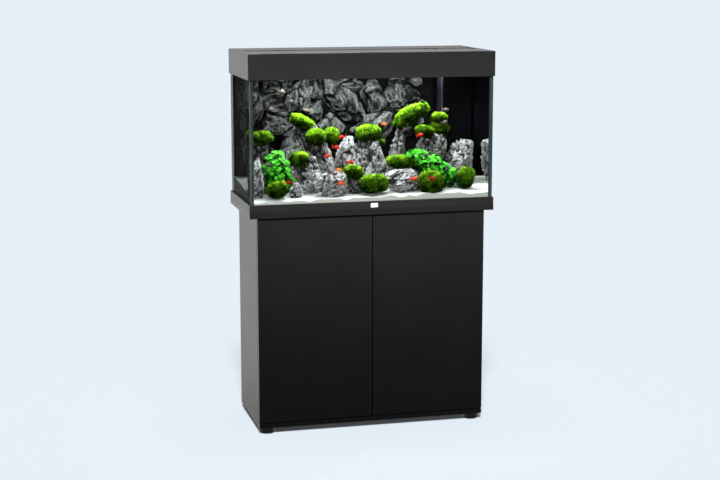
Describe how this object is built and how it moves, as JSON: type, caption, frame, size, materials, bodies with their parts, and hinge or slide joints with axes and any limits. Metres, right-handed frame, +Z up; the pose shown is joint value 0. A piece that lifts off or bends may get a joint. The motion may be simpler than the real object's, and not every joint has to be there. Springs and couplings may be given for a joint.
{
  "type": "aquarium on stand",
  "caption": "Rectangular planted aquarium with a black hood and light, standing on a black two-door cabinet with round feet",
  "frame": {"origin": "on the floor, at the middle of the footprint", "axes": "+Z up, -Y towards the viewer at the doors, +X to the viewer's right"},
  "size_m": [0.81, 0.36, 1.23],
  "materials": {
    "black_board": "satin black melamine board",
    "black_plastic": "satin black moulded plastic",
    "foot_plastic": "black moulded plastic",
    "clear_glass": "clear float glass",
    "silicone": "black silicone",
    "hinge_steel": "nickel-plated steel",
    "light_tube": "opal tube",
    "grey_plastic": "grey moulded plastic",
    "sponge": "open filter foam",
    "beech": "beech dowel",
    "pale_sand": "fine white sand",
    "grey_rock": "streaked grey rock",
    "wall_rock": "moulded rock wall",
    "moss": "moss",
    "leaf": "small round leaves"
  },
  "bodies": {
    "stand_and_tank": {"front_left_foot": "foot_plastic", "front_right_foot": "foot_plastic", "back_left_foot": "foot_plastic", "back_right_foot": "foot_plastic", "base_panel": "black_board", "top_panel": "black_board", "left_side_panel": "black_board", "right_side_panel": "black_board", "back_panel": "black_board", "shelf": "black_board", "panel_dowels": "beech", "left_hinge_arms": "hinge_steel", "left_arm_pins": "hinge_steel", "left_latch_body": "grey_plastic", "right_hinge_arms": "hinge_steel", "right_arm_pins": "hinge_steel", "right_latch_body": "grey_plastic", "shelf_pins": "hinge_steel", "flap_pins": "hinge_steel", "tank_base_frame": "black_plastic", "hood_frame": "black_plastic", "light_unit_housing": "black_plastic", "tube_sockets": "black_plastic", "filter_housing": "black_plastic", "pump_body": "black_plastic", "bottom_glass": "clear_glass", "front_glass": "clear_glass", "back_glass": "clear_glass", "left_glass": "clear_glass", "right_glass": "clear_glass", "corner_seals": "silicone", "front_light_tube": "light_tube", "rear_light_tube": "light_tube", "lower_basket": "grey_plastic", "upper_basket": "grey_plastic", "heater": "black_plastic", "coarse_sponge": "sponge", "fine_sponge": "sponge", "sand_bed": "pale_sand", "rock_background": "wall_rock", "left_rocks": "grey_rock", "centre_rocks": "grey_rock", "right_rocks": "grey_rock", "moss_cushions": "moss", "left_plant": "leaf", "right_plant": "leaf"},
    "left_link": {"left_hinge_links": "hinge_steel"},
    "left_door": {"left_door": "black_board", "left_hinge_cups": "hinge_steel", "left_cup_pins": "hinge_steel"},
    "right_link": {"right_hinge_links": "hinge_steel"},
    "right_door": {"right_door": "black_board", "right_hinge_cups": "hinge_steel", "right_cup_pins": "hinge_steel"},
    "front_flap": {"front_flap": "black_plastic"},
    "rear_flap": {"rear_flap": "black_plastic"},
    "nozzle": {"pump_nozzle": "black_plastic"},
    "impeller": {"impeller": "grey_plastic"},
    "left_plunger": {"left_plunger": "grey_plastic"},
    "right_plunger": {"right_plunger": "grey_plastic"}
  },
  "joints": [
    {"name": "left_link_turn", "type": "hinge", "parent": "stand_and_tank", "child": "left_link", "pos_m": [-0.351, -0.1503, 0.373], "axis": [0, 0, 1], "range_deg": [0, 33.8]},
    {"name": "left_door_swing", "type": "hinge", "parent": "left_link", "child": "left_door", "pos_m": [-0.368, -0.151, 0.373], "axis": [0, 0, -1], "range_deg": [0, 128.78]},
    {"name": "left_latch_push", "type": "slide", "parent": "stand_and_tank", "child": "left_plunger", "axis": [0, 1, 0], "range_m": [0, 0.004], "stiffness_N_per_m": 250},
    {"name": "right_link_turn", "type": "hinge", "parent": "stand_and_tank", "child": "right_link", "pos_m": [0.351, -0.1503, 0.373], "axis": [0, 0, -1], "range_deg": [0, 33.8]},
    {"name": "right_door_swing", "type": "hinge", "parent": "right_link", "child": "right_door", "pos_m": [0.368, -0.151, 0.373], "axis": [0, 0, 1], "range_deg": [0, 128.78]},
    {"name": "right_latch_push", "type": "slide", "parent": "stand_and_tank", "child": "right_plunger", "axis": [0, 1, 0], "range_m": [0, 0.004], "stiffness_N_per_m": 250},
    {"name": "front_flap_lift", "type": "hinge", "parent": "stand_and_tank", "child": "front_flap", "pos_m": [0, -0.048, 1.226], "axis": [-1, 0, 0], "range_deg": [0, 100]},
    {"name": "rear_flap_lift", "type": "hinge", "parent": "stand_and_tank", "child": "rear_flap", "pos_m": [0, 0.036, 1.226], "axis": [1, 0, 0], "range_deg": [0, 100]},
    {"name": "nozzle_turn", "type": "hinge", "parent": "stand_and_tank", "child": "nozzle", "pos_m": [0.27, 0.125, 1.145], "axis": [1, 0, 0], "range_deg": [-60, 60]},
    {"name": "impeller_spin", "type": "hinge", "parent": "stand_and_tank", "child": "impeller", "pos_m": [0.333, 0.125, 1.145], "axis": [0, 0, 1], "continuous": true}
  ],
  "couplings": [
    {"joint": "left_link_turn", "follows": "left_door_swing", "ratio": 0.2623},
    {"joint": "right_link_turn", "follows": "right_door_swing", "ratio": 0.2623}
  ]
}
